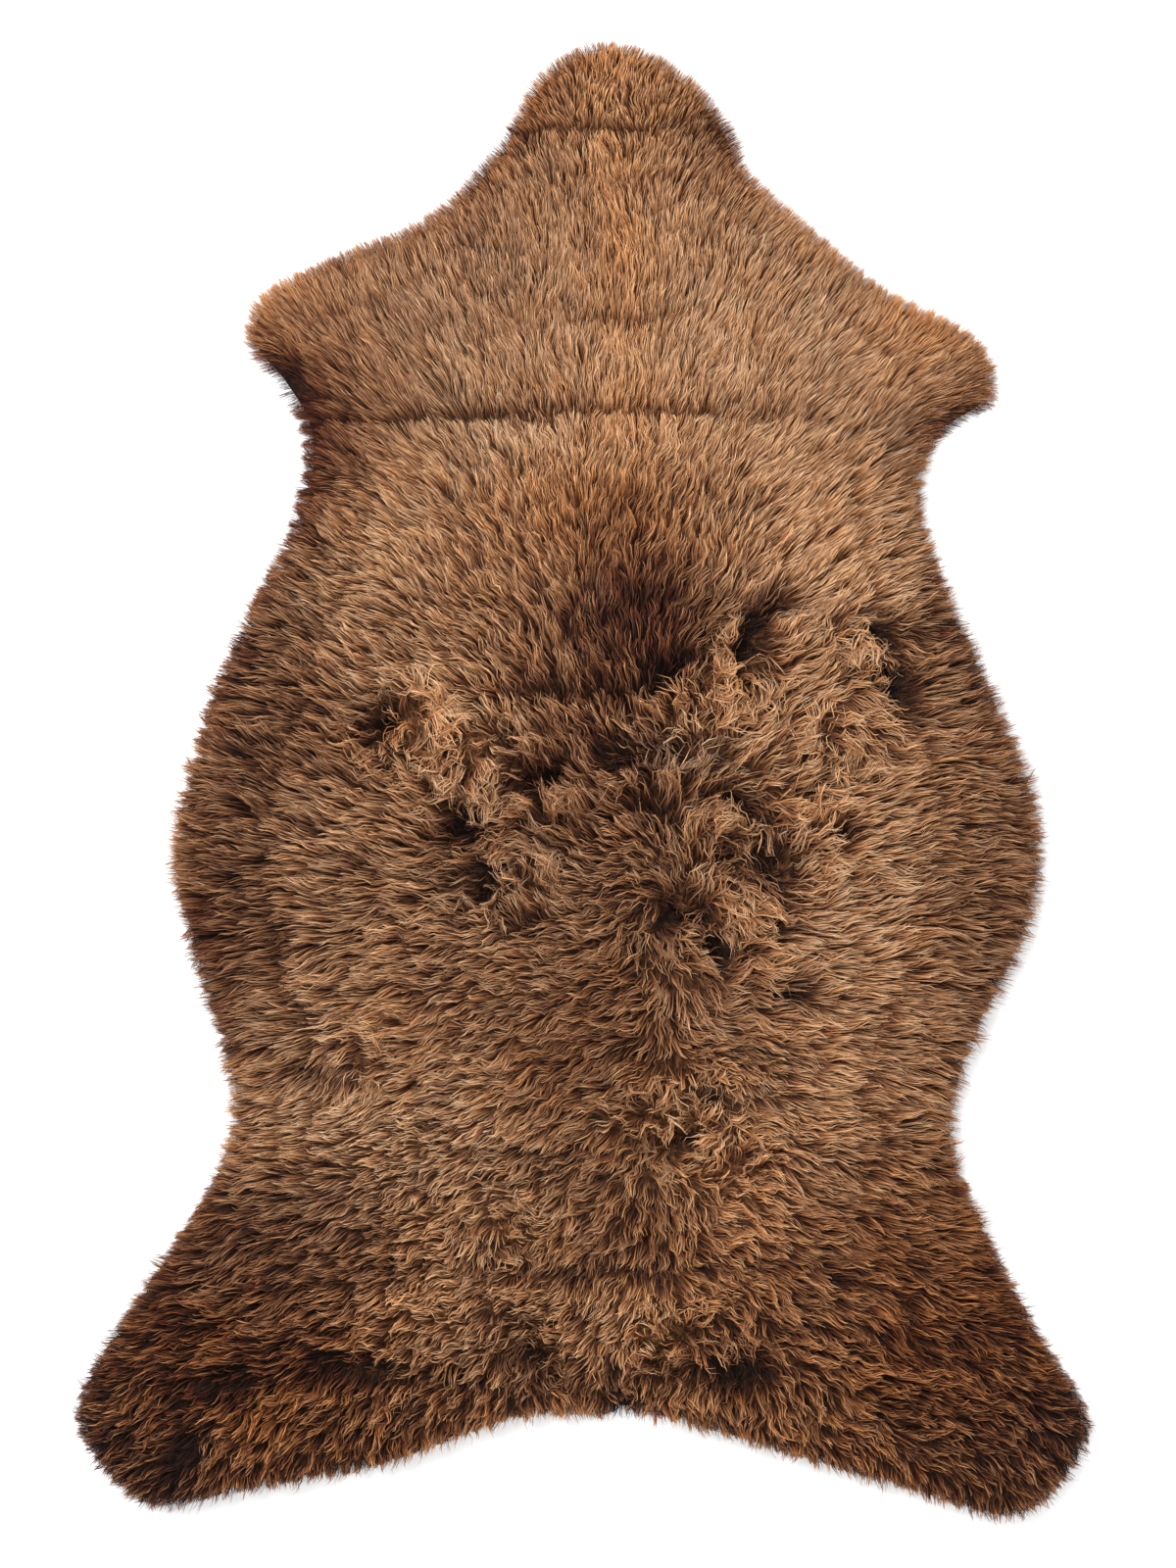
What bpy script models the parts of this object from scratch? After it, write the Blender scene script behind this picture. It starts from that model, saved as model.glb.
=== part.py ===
"""A brown lambskin laid out flat on a floor, wool side up.

The pelt is one piece: a tanned hide that lies on the floor with its fleece standing on it, so it is
one solid. The fleece is a lumpy slab, low and sleek at the neck and deep and tufted at the hind legs,
with a row of separate wool locks round its rim.

The lambskin lies in the XY plane with its underside at Z = 0. +Y points to the neck and the origin is
under the middle of its outline. Tables are in millimetres and everything else is in metres.
"""

import math
import random

import bmesh
import bpy
import numpy as np
from mathutils import Vector, noise
from mathutils.geometry import delaunay_2d_cdt

MM = 0.001

# The edge of the wool, counter-clockwise from the neck as seen from above, and how far the rim's
# locks stand out there.
OUTLINE = [
    # landmark, across, along, lock
    ("nape", 16, 499, 9),
    ("left brow", -26, 480, 9),
    ("left cheek", -56, 431, 10),
    ("left neck", -102, 385, 11),
    ("left shoulder", -176, 353, 8),
    ("left foreleg front", -218, 330, 7),
    ("left foreleg tip", -229, 298, 9),
    ("left foreleg back", -205, 267, 7),
    ("left armpit", -189, 231, 6),
    ("left chest", -202, 170, 10),
    ("left ribs", -232, 114, 12),
    ("left flank", -259, 48, 13),
    ("left belly", -280, -46, 13),
    ("left groin", -267, -112, 13),
    ("left waist top", -245, -181, 11),
    ("left waist", -240, -230, 10),
    ("left hip", -267, -283, 14),
    ("left thigh", -298, -329, 14),
    ("left hock", -341, -401, 11),
    ("left foot outside", -341, -446, 11),
    ("left foot", -294, -491, 13),
    ("left foot inside", -229, -481, 12),
    ("left seat", -130, -462, 13),
    ("left of tail", -50, -431, 9),
    ("tail", 3, -429, 10),
    ("right of tail", 48, -429, 9),
    ("right seat", 135, -456, 12),
    ("right foot inside", 221, -481, 12),
    ("right foot", 286, -498, 12),
    ("right foot outside", 324, -476, 12),
    ("right hock", 346, -427, 12),
    ("right thigh", 308, -364, 10),
    ("right hip", 271, -290, 12),
    ("right waist", 249, -229, 10),
    ("right waist top", 269, -164, 11),
    ("right groin", 300, -98, 12),
    ("right belly", 310, -28, 14),
    ("right flank", 287, 42, 12),
    ("right ribs", 249, 130, 12),
    ("right chest", 230, 187, 9),
    ("right armpit", 237, 229, 6),
    ("right foreleg tip", 279, 257, 12),
    ("right foreleg front", 266, 300, 7),
    ("right shoulder", 204, 334, 8),
    ("right neck", 156, 373, 11),
    ("right throat", 110, 410, 10),
    ("right cheek", 97, 443, 10),
    ("right brow", 63, 481, 9),
]

# The depth of the fleece along the pelt, and how far its tufts rise and lean.
FLEECE_SECTIONS = [
    # part, along, pile, tuft
    ("nape", 500, 15, 5.5),
    ("neck", 400, 14, 4.5),
    ("shoulders", 300, 16, 4.5),
    ("back", 180, 19, 5.5),
    ("ribs", 60, 24, 7.5),
    ("belly", -60, 26, 9.0),
    ("loin", -200, 25, 8.0),
    ("rump", -320, 26, 8.5),
    ("hind legs", -500, 28, 9.5),
]

# Where the pelt was folded in its box, the fleece opens along a soft trough.
CREASES = [
    # place, left end, right end, along, depth, half_width
    ("nape", -62, 48, 437, 4, 11),
    ("withers", -5, 58, 307, 3, 9),
    ("shoulders", -150, 112, 241, 5, 13),
    ("loin", -200, 190, -232, 5, 20),
    ("rump", -150, 230, -317, 6, 22),
    ("seat", -250, 60, -392, 6, 20),
]

# Spots on the back where the long wool parts and curls away from a hollow.
PARTINGS = [
    # place, across, along, radius, depth
    ("left ribs", -124, 24, 24, 9),
    ("left belly", -72, -36, 30, 9),
    ("left loin", -52, -76, 26, 7),
    ("middle of back", -22, 1, 20, 6),
    ("right of spine", 62, 40, 36, 8),
    ("right withers", 96, 96, 24, 9),
    ("right ribs", 198, 72, 24, 9),
    ("right belly", 100, -20, 32, 9),
    ("right loin", 88, -112, 34, 8),
    ("tail", 92, -392, 24, 6),
]

# The locks round the rim. The lengths, the set-back and the knee are shares of the outline's lock
# column, and the waist is a share of the lock's width at its root.
LOCK_COUNT = 290
LOCK_LENGTHS = (1.0, 1.8)
LOCK_SET_BACK = 0.6
LOCK_KNEE = 0.5
LOCK_WAIST = 0.58
LOCK_SWAY = 0.10
TIP_HEIGHTS = (0.35, 0.9)
TIP_CLEARANCE = 1.5 * MM

# The rim curves down over this width to this share of the pile, and the hide ends inside it.
RIM_ROUNDING = 34 * MM
RIM_LOW_SHARE = 0.34
UNDERSIDE_INSET = 11 * MM

# The tufts stand on a triangular lattice. Their sizes vary, and a crown rises by most of a tuft's
# height while the ground between crowns sinks by the rest.
TUFT_PITCH = 15 * MM
TUFT_JITTER = 0.25
TUFT_SIZES = (0.6, 1.15)
TUFT_RISE = 2 / 3
TUFT_LEAN = 0.7
TUFT_RIM_GAP = 0.55 * TUFT_PITCH

# Broad swells under the tufts, and the middle of the back that the wool is combed away from.
SWELL_SIZE = 90 * MM
SWELL_HEIGHT = 3 * MM
COMB_CENTRE = Vector((10 * MM, -30 * MM))

SPLINE_STEPS = 10
WELD_DISTANCE = 0.001 * MM
SEED = 7


def smooth_loop(points, steps):
    """A closed Catmull-Rom curve through the points, as a dense polyline."""
    before, here = np.roll(points, 1, axis=0), points
    after, beyond = np.roll(points, -1, axis=0), np.roll(points, -2, axis=0)
    spans = []
    for step in range(steps):
        t = step / steps
        spans.append(
            0.5
            * (
                2 * here
                + (after - before) * t
                + (2 * before - 5 * here + 4 * after - beyond) * t**2
                + (3 * here - before - 3 * after + beyond) * t**3
            )
        )
    return np.stack(spans, axis=1).reshape(-1, points.shape[1])


def evenly_spaced(loop, count):
    """The closed loop again, with count rows at equal distances along it."""
    closed = np.vstack([loop, loop[:1]])
    steps = np.linalg.norm(np.diff(closed[:, :2], axis=0), axis=1)
    travelled = np.concatenate([[0.0], np.cumsum(steps)])
    stations = np.linspace(0.0, travelled[-1], count, endpoint=False)
    columns = [np.interp(stations, travelled, column) for column in closed.T]
    return np.stack(columns, axis=1)


def outward_directions(loop):
    """Unit vectors that point out of a counter-clockwise loop, smoothed over their neighbours."""
    tangents = np.roll(loop, -2, axis=0) - np.roll(loop, 2, axis=0)
    outward = np.stack([tangents[:, 1], -tangents[:, 0]], axis=1)
    return outward / np.linalg.norm(outward, axis=1, keepdims=True)


def distances_to_loop(points, loop):
    """The distance of each point to the nearest side of a closed loop."""
    start, side = loop, np.roll(loop, -1, axis=0) - loop
    offset = points[:, None, :] - start[None, :, :]
    share = (offset * side).sum(axis=2) / (side**2).sum(axis=1)
    nearest = offset - np.clip(share, 0, 1)[:, :, None] * side
    return np.linalg.norm(nearest, axis=2).min(axis=1)


def inside_loop(point, loop):
    """Whether a point lies inside a closed loop, by counting the sides to its right."""
    x, y = point
    start, end = loop, np.roll(loop, -1, axis=0)
    spans = (start[:, 1] > y) != (end[:, 1] > y)
    start, end = start[spans], end[spans]
    share = (y - start[:, 1]) / (end[:, 1] - start[:, 1])
    crossing = start[:, 0] + share * (end[:, 0] - start[:, 0])
    return (crossing > x).sum() % 2 == 1


def fleece_at(y):
    """The pile's depth and its tufts' height at a station along the pelt."""
    stations = [row[1] * MM for row in reversed(FLEECE_SECTIONS)]
    piles = [row[2] * MM for row in reversed(FLEECE_SECTIONS)]
    tufts = [row[3] * MM for row in reversed(FLEECE_SECTIONS)]
    return np.interp(y, stations, piles), np.interp(y, stations, tufts)


def hollow_depth(x, y):
    """How far the creases and the parted spots lower the fleece at a point."""
    depth = 0.0
    for _, left, right, along, deep, half_width in CREASES:
        past_end = max(left * MM - x, x - right * MM, 0.0)
        distance = math.hypot(past_end, y - along * MM) / (half_width * MM)
        depth = max(depth, deep * MM * math.exp(-(distance**2)))
    for _, across, along, radius, deep in PARTINGS:
        distance = math.hypot(x - across * MM, y - along * MM) / (radius * MM)
        depth = max(depth, deep * MM * math.exp(-(distance**2)))
    return depth


def fleece_height(x, y, rim_distance):
    """The height of the fleece without its tufts: deep in the middle and rounded down to the rim."""
    pile, _ = fleece_at(y)
    inward = min(rim_distance / RIM_ROUNDING, 1.0)
    rounded = math.sqrt(1.0 - (1.0 - inward) ** 2)
    swell = SWELL_HEIGHT * noise.noise(Vector((x, y, 0.0)) / SWELL_SIZE)
    full = pile * (RIM_LOW_SHARE + (1.0 - RIM_LOW_SHARE) * rounded)
    return full + (swell - hollow_depth(x, y)) * rounded


def comb_direction(x, y):
    """The way the wool lies: away from the middle of the back."""
    away = Vector((x, y)) - COMB_CENTRE
    return away.normalized() if away.length > 0 else Vector((0.0, 1.0))


def rim_loops():
    """The fleece's edge, the hide's edge under it and each lock's reach, all with a row for each lock."""
    table = np.array([row[1:] for row in OUTLINE], float) * MM
    rows = evenly_spaced(smooth_loop(table, SPLINE_STEPS), LOCK_COUNT)
    wool_edge, reach = rows[:, :2], rows[:, 2]
    outward = outward_directions(wool_edge)
    fleece_edge = wool_edge - outward * (LOCK_SET_BACK * reach)[:, None]
    hide_edge = fleece_edge - outward * UNDERSIDE_INSET
    return fleece_edge, hide_edge, outward, reach


def tuft_lattice(edge, dice):
    """Points on a triangular lattice inside the edge. One in three is a tuft's crown."""
    row_pitch = TUFT_PITCH * math.sqrt(3) / 2
    rows = math.ceil(np.abs(edge).max() / row_pitch)
    columns = 2 * rows
    stray = TUFT_JITTER * TUFT_PITCH
    points, crowns = [], []
    for row in range(-rows, rows + 1):
        for column in range(-columns, columns + 1):
            x = TUFT_PITCH * (column + row / 2) + dice.uniform(-stray, stray)
            y = row_pitch * row + dice.uniform(-stray, stray)
            if inside_loop((x, y), edge):
                points.append((x, y))
                crowns.append((column - row) % 3 == 0)
    points, crowns = np.array(points), np.array(crowns)
    kept = distances_to_loop(points, edge) > TUFT_RIM_GAP
    return points[kept], crowns[kept]


def add_fleece_top(mesh, edge, dice):
    """Adds the lumpy upper face of the fleece to the mesh and gives back its edge vertices in order."""
    points, crowns = tuft_lattice(edge, dice)
    rim_distance = distances_to_loop(points, edge)
    flat = [Vector(p) for p in edge] + [Vector(p) for p in points]
    count = len(edge)
    sides = [(k, (k + 1) % count) for k in range(count)]
    only_inside = 1
    flat, _, faces, *_ = delaunay_2d_cdt(flat, sides, [], only_inside, WELD_DISTANCE)
    vertices = []
    for index, (x, y) in enumerate(flat):
        if index < count:
            vertices.append(mesh.verts.new((x, y, fleece_height(x, y, 0.0))))
            continue
        inward = rim_distance[index - count]
        _, tuft = fleece_at(y)
        tuft *= min(inward / RIM_ROUNDING, 1.0) * dice.uniform(*TUFT_SIZES)
        base = Vector((x, y, fleece_height(x, y, inward)))
        if crowns[index - count]:
            lean = comb_direction(x, y) * tuft * TUFT_LEAN
            base += Vector((lean.x, lean.y, tuft * TUFT_RISE))
        else:
            base.z -= tuft * (1 - TUFT_RISE)
        vertices.append(mesh.verts.new(base))
    for face in faces:
        mesh.faces.new([vertices[k] for k in face])
    return vertices[:count]


def add_underside(mesh, hide_edge):
    """Adds the hide's flat lower face and gives back its vertices in order."""
    vertices = [mesh.verts.new((x, y, 0.0)) for x, y in hide_edge]
    mesh.faces.new(list(reversed(vertices)))
    return vertices


def add_rim_locks(mesh, lower, upper, outward, reach, dice):
    """Closes the rim between the two edges with a band of faces, and draws each out to a wool lock."""
    count = len(lower)
    band = []
    for k in range(count):
        after = (k + 1) % count
        band.append(mesh.faces.new([lower[k], lower[after], upper[after], upper[k]]))
    shafts = bmesh.ops.extrude_discrete_faces(mesh, faces=band)["faces"]
    tips = []
    for k, shaft in enumerate(shafts):
        away = Vector((*(outward[k] + outward[(k + 1) % count]), 0.0)).normalized()
        along = Vector((-away.y, away.x, 0.0))
        away = (away + along * dice.uniform(-LOCK_SWAY, LOCK_SWAY)).normalized()
        length = reach[k] * dice.uniform(*LOCK_LENGTHS)
        middle = shaft.calc_center_median()
        knee = middle + away * length * LOCK_KNEE
        for vertex in shaft.verts:
            vertex.co = knee + (vertex.co - middle) * LOCK_WAIST
        tip_height = middle.z * dice.uniform(*TIP_HEIGHTS) + TIP_CLEARANCE
        tips.append((shaft, Vector((*(middle + away * length).xy, tip_height))))
    for shaft, tip in tips:
        apex = bmesh.ops.poke(mesh, faces=[shaft])["verts"][0]
        apex.co = tip


def centre_over_origin(mesh):
    """Slides the solid in the XY plane until the middle of its box is over the origin."""
    places = np.array([vertex.co[:] for vertex in mesh.verts])
    middle = (places.min(axis=0) + places.max(axis=0)) / 2
    bmesh.ops.translate(mesh, verts=mesh.verts, vec=(-middle[0], -middle[1], 0.0))


def wool_material():
    material = bpy.data.materials.new("brown_wool")
    material.use_nodes = True
    shader = material.node_tree.nodes["Principled BSDF"]
    shader.inputs["Base Color"].default_value = (0.17, 0.085, 0.042, 1.0)
    shader.inputs["Roughness"].default_value = 0.85
    shader.inputs["Metallic"].default_value = 0.0
    return material


def build_lambskin(collection):
    dice = random.Random(SEED)
    fleece_edge, hide_edge, outward, reach = rim_loops()
    mesh = bmesh.new()
    upper = add_fleece_top(mesh, fleece_edge, dice)
    lower = add_underside(mesh, hide_edge)
    add_rim_locks(mesh, lower, upper, outward, reach, dice)
    centre_over_origin(mesh)
    data = bpy.data.meshes.new("lambskin")
    mesh.to_mesh(data)
    mesh.free()
    data.materials.append(wool_material())
    data.shade_smooth()
    data.set_sharp_from_angle(angle=math.radians(80))
    collection.objects.link(bpy.data.objects.new("lambskin", data))


def main():
    for old in list(bpy.data.objects):
        bpy.data.objects.remove(old, do_unlink=True)
    collection = bpy.data.collections.new("lambskin")
    bpy.context.scene.collection.children.link(collection)
    build_lambskin(collection)


main()
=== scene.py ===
import math

import bmesh
import bpy
import numpy as np
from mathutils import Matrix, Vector, noise
from mathutils.bvhtree import BVHTree
from mathutils.geometry import delaunay_2d_cdt


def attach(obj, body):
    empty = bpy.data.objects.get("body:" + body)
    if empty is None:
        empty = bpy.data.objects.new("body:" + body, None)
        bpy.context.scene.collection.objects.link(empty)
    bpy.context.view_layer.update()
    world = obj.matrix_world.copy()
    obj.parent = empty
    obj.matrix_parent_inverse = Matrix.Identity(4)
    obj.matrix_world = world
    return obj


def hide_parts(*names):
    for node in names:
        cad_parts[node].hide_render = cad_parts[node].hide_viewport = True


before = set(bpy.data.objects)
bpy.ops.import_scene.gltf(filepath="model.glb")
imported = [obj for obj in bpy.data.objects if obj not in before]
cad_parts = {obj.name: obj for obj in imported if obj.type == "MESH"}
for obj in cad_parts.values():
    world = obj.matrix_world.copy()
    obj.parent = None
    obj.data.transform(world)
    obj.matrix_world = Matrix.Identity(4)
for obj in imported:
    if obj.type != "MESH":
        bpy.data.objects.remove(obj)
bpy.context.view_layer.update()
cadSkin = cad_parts["lambskin"]
mm = 0.001

pelt = {
    "spineAcross": 14 * mm,     # where the backbone runs
    "skinThickness": 1.8 * mm,
    # how far the under-wool reaches past the skin's edge, in mm, by place along the pelt
    "groundOverSkin": ((500, 13), (400, 14), (330, 10), (250, 8), (-520, 8)),
    "groundPitch": 5 * mm,
    "groundRim": 3.4 * mm,      # height of the under-wool at its edge
    "rimTurn": 34 * mm,         # the wool turns outwards within this distance of the edge
}


def linear(hexCode):
    parts = [int(hexCode[k:k + 2], 16) / 255 for k in (1, 3, 5)]
    return [c / 12.92 if c <= 0.04045 else ((c + 0.055) / 1.055) ** 2.4 for c in parts] + [1.0]


def inScene(name, data):
    made = bpy.data.objects.new(name, data)
    bpy.context.scene.collection.objects.link(made)
    return made


# the pelt's own shape, read from the frame
def skinLoop(node):
    mesh = bmesh.new()
    mesh.from_mesh(node.data)
    bmesh.ops.remove_doubles(mesh, verts=mesh.verts, dist=1e-5)
    flat = {f for f in mesh.faces if all(v.co.z < 1e-4 for v in f.verts)}
    after = {}
    for f in flat:
        for loop in f.loops:
            if not any(other in flat for other in loop.edge.link_faces if other is not f):
                after[loop.vert] = loop.link_loop_next.vert
    start = max(after, key=lambda v: v.co.y)
    ring, here = [], start
    while True:
        ring.append(here.co.xy[:])
        here = after[here]
        if here is start:
            break
    mesh.free()
    ring = np.array(ring[::-1])  # the floor faces look down, so their order is turned round
    return ring


def outwards(ring):
    along = np.roll(ring, -2, axis=0) - np.roll(ring, 2, axis=0)
    away = np.stack([along[:, 1], -along[:, 0]], axis=1)
    return away / np.linalg.norm(away, axis=1, keepdims=True)


def toRing(points, ring):
    # distance to the ring, and the outward direction of the nearest side
    side = np.roll(ring, -1, axis=0) - ring
    away = outwards(ring)
    best = np.full(len(points), 9.0)
    facing = np.zeros((len(points), 2))
    for start, span, out in zip(ring, side, away):
        offset = points - start
        share = np.clip(offset @ span / (span @ span), 0, 1)
        gap = np.linalg.norm(offset - share[:, None] * span, axis=1)
        nearer = gap < best
        best[nearer] = gap[nearer]
        facing[nearer] = out
    return best, facing


def insideRing(points, ring):
    start, end = ring, np.roll(ring, -1, axis=0)
    count = np.zeros(len(points), int)
    for a, b in zip(start, end):
        if a[1] == b[1]:
            continue
        spans = (a[1] > points[:, 1]) != (b[1] > points[:, 1])
        crossing = a[0] + (points[:, 1] - a[1]) / (b[1] - a[1]) * (b[0] - a[0])
        count += spans & (crossing > points[:, 0])
    return count % 2 == 1


def fillRing(ring, inner=()):
    # triangles over the inside of a closed ring and the points in it
    count = len(ring)
    flat, _, faces, *_ = delaunay_2d_cdt([Vector(p) for p in (*ring, *inner)],
                                         [(k, (k + 1) % count) for k in range(count)], [], 1, 1e-7)
    spots, faces = np.array([p[:] for p in flat]), np.array(faces)
    return spots, faces[insideRing(spots[faces].mean(axis=1), ring)]


skinEdge = skinLoop(cadSkin)
places, reaches = zip(*reversed(pelt["groundOverSkin"]))
reach = np.interp(skinEdge[:, 1], np.array(places) * mm, np.array(reaches) * mm)
groundEdge = skinEdge + outwards(skinEdge) * reach[:, None]
# in narrow notches the edge would fold over itself, and those points are dropped
groundEdge = groundEdge[toRing(groundEdge, skinEdge)[0] > reach * 0.96]
pitch = pelt["groundPitch"]
rowPitch = pitch * math.sqrt(3) / 2
rowsUp = math.ceil(0.52 / rowPitch)  # past both ends of the pelt
lattice = np.array([
    (pitch * (column + (row % 2) / 2), rowPitch * row)
    for row in range(-rowsUp, rowsUp + 1)
    for column in range(-rowsUp, rowsUp + 1)
])
lattice = lattice[insideRing(lattice, groundEdge)]
lattice = lattice[toRing(lattice, groundEdge)[0] > pitch * 0.6]
spots, triangles = fillRing(groundEdge, lattice)
ringCount = len(groundEdge)
rimGap, rimFacing = toRing(spots, groundEdge)
rimGap[:ringCount] = 0.0
print("ground:", len(spots), "points,", len(triangles), "triangles")

tree = BVHTree.FromPolygons([v.co[:] for v in cadSkin.data.vertices],
                            [tuple(f.vertices) for f in cadSkin.data.polygons])
fleeceTop = np.zeros(len(spots))
for k, (x, y) in enumerate(spots):
    hit = tree.ray_cast(Vector((x, y, 0.2)), Vector((0, 0, -1)))[0]
    fleeceTop[k] = hit.z if hit else 0.0
# the solid's own facets are smoothed away
links = np.unique(np.sort(np.concatenate(
    [triangles[:, [0, 1]], triangles[:, [1, 2]], triangles[:, [2, 0]]]), axis=1), axis=0)
for _ in range(4):
    total, number = fleeceTop.copy(), np.ones(len(spots))
    for a, b in ((0, 1), (1, 0)):
        np.add.at(total, links[:, a], fleeceTop[links[:, b]])
        np.add.at(number, links[:, a], 1)
    fleeceTop = total / number


# what the wool is like at each spot

# Which way the wool lies, in degrees: 90 points to the neck, 0 to the right and 180 to the left.
# The columns run from the left rim over the spine to the right rim.
layRows = [
    # part, along, leftRim, leftFlank, leftBack, spine, rightBack, rightFlank, rightRim
    ("nape", 477, 125, 110, 97, 90, 85, 70, 55),
    ("neck", 398, 125, 112, 100, 90, 80, 60, 48),
    ("shoulders", 332, 122, 113, 102, 90, 76, 60, 50),
    ("forelegs", 279, 165, 125, 107, 90, 68, 45, 25),
    ("chest", 226, 150, 138, 112, 90, 68, 42, 30),
    ("back", 147, 158, 152, 118, 92, 62, 38, 20),
    ("ribs", 67, 165, 152, 152, 100, 50, 15, 8),
    ("belly", -19, 173, 155, 158, 150, 10, 15, 0),
    ("flank", -98, 188, 192, 178, 172, -5, 5, -8),
    ("loin", -171, 186, 198, 200, 206, 342, -2, -18),
    ("waist", -237, 180, 190, 200, 222, 325, -14, -8),
    ("rump", -303, 198, 202, 203, 228, 338, -14, -15),
    ("thighs", -362, 195, 198, 205, 240, 322, -26, -32),
    ("hind legs", -422, 195, 215, 235, 270, 300, -15, -35),
    ("feet", -475, 225, 250, 258, 270, 290, -70, -60),
]
columnShares = (-1.0, -0.66, -0.33, 0.0, 0.33, 0.66, 1.0)

# How light the wool is, from 0 for near black to 1 for bleached tips. The columns run from the
# spine to the rim, alike on both sides.
toneRows = [
    # part, along, spine, back, flank, rim
    ("nape", 450, 0.66, 0.54, 0.40, 0.32),
    ("neck", 380, 0.54, 0.53, 0.50, 0.44),
    ("shoulders", 305, 0.60, 0.57, 0.49, 0.34),
    ("chest", 235, 0.70, 0.68, 0.58, 0.18),
    ("back", 168, 0.34, 0.46, 0.80, 0.16),
    ("ribs", 102, 0.14, 0.46, 0.70, 0.12),
    ("middle", 36, 0.16, 0.66, 0.68, 0.30),
    ("belly", -30, 0.22, 0.48, 0.66, 0.30),
    ("flank", -96, 0.38, 0.60, 0.68, 0.28),
    ("loin", -162, 0.18, 0.54, 0.78, 0.32),
    ("waist", -228, 0.38, 0.74, 0.74, 0.34),
    ("rump", -294, 0.46, 0.68, 0.30, 0.20),
    ("thighs", -361, 0.54, 0.38, 0.16, 0.12),
    ("feet", -450, 0.54, 0.40, 0.24, 0.12),
]
toneShares = (0.0, 0.33, 0.66, 1.0)

# The wool itself along the pelt: length and rise in mm, how strongly it curls (radians along
# a lock), how far locks stray in degrees, how much tips gather to a point, how far the dark
# root, with painted shade low in the fleece, reaches up a strand, how much locks differ, and a strand's
# thickness in mm.
woolRows = [
    # part, along, length, rise, curl, stray, gather, rootShade, vary, thick
    ("nape", 500, 15, 5.0, 0.50, 8, 0.44, 1.00, 1.05, 0.68),
    ("nape", 440, 15, 4.2, 0.46, 7, 0.40, 0.95, 1.05, 0.66),
    ("neck", 380, 18, 2.8, 0.42, 6, 0.26, 0.74, 1.10, 0.58),
    ("shoulders", 300, 20, 2.6, 0.42, 6, 0.26, 0.72, 1.10, 0.56),
    ("chest", 226, 21, 3.2, 0.48, 6, 0.34, 0.85, 1.35, 0.58),
    ("back", 147, 22, 4.4, 0.55, 6, 0.44, 1.00, 1.15, 0.70),
    ("ribs", 67, 24, 5.4, 0.62, 7, 0.50, 1.10, 1.10, 0.80),
    ("belly", -19, 26, 6.2, 0.66, 8, 0.52, 1.15, 1.05, 0.82),
    ("flank", -98, 26, 5.8, 0.64, 7, 0.50, 1.12, 1.02, 0.82),
    ("loin", -171, 25, 5.2, 0.66, 7, 0.46, 1.08, 1.00, 0.82),
    ("rump", -303, 22, 5.4, 0.70, 8, 0.50, 1.15, 1.00, 0.84),
    ("hind legs", -422, 18, 6.6, 0.85, 10, 0.72, 1.45, 1.25, 0.84),
    ("feet", -500, 18, 6.6, 0.85, 10, 0.72, 1.50, 1.25, 0.84),
]

# Spots where the wool turns round a centre. Spin is 1 for anticlockwise, and wild adds curl.
whorlRows = [
    # place, across, along, radius, spin, wild
    ("left ribs", -112, 35, 22, 1.0, 1.6),
    ("left belly", -62, 2, 28, -0.8, 1.4),
    ("left loin", -50, -66, 22, 0.6, 1.0),
    ("loin", 56, -87, 24, 1.0, 1.6),
    ("right withers", 98, 73, 24, -1.0, 1.8),
    ("middle", 63, 18, 26, 1.0, 1.2),
    ("right ribs", 190, 92, 20, -0.8, 1.4),
    ("right chest", 165, 36, 24, -0.9, 1.2),
    ("right belly", 100, -28, 30, -1.0, 1.6),
    ("right flank", 128, -38, 26, 0.9, 1.4),
    ("right loin", 90, -108, 26, 0.8, 1.2),
    ("left hip", -146, -174, 15, 0.8, 0.8),
    ("left waist", -56, -288, 24, 1.0, 1.0),
    ("right waist", 90, -211, 20, -1.0, 1.4),
    ("right rump", 68, -235, 22, 1.0, 1.2),
    ("left seat", -32, -376, 24, 1.0, 1.0),
    ("right seat", 77, -362, 28, -1.0, 1.0),
]

# Patches that lie their own way, with how much lighter they are and how much more they curl. Their lighter
# tone is partly the curls' own golden colour and partly a painted highlight on the raised curls.
patchRows = [
    # place, across, along, radius, heading, light, wild
    ("golden sweep", 147, -36, 20, 35, 0.30, 0.2),
    ("curls under it", 103, -80, 18, -45, 0.22, 0.7),
    ("curls over it", 87, -31, 14, 20, 0.25, 1.2),
    ("withers high", 87, 80, 16, 70, 0.22, 2.0),
    ("under the withers", 85, 42, 13, -50, 0.20, 1.6),
    ("right ribs", 171, 90, 15, 110, 0.18, 1.6),
    ("arrowhead", 175, 40, 14, -60, 0.25, 0.3),
    ("left ribs", -109, 36, 17, 60, 0.65, 2.2),
    ("left belly", -76, 8, 18, 250, 0.12, 1.0),
    ("left belly hang", -50, -34, 12, 265, 0.15, 0.5),
    ("middle curl", -13, -23, 13, 110, 0.10, 1.4),
    ("grey swirl", 64, 7, 15, 150, 0.05, 1.0),
    ("left of the loin", -28, -73, 15, 55, 0.05, 0.4),
    ("loin curls", 60, -212, 22, 185, 0.0, 1.0),
    ("loin curls low", 96, -246, 18, 60, 0.05, 1.0),
]
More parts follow.
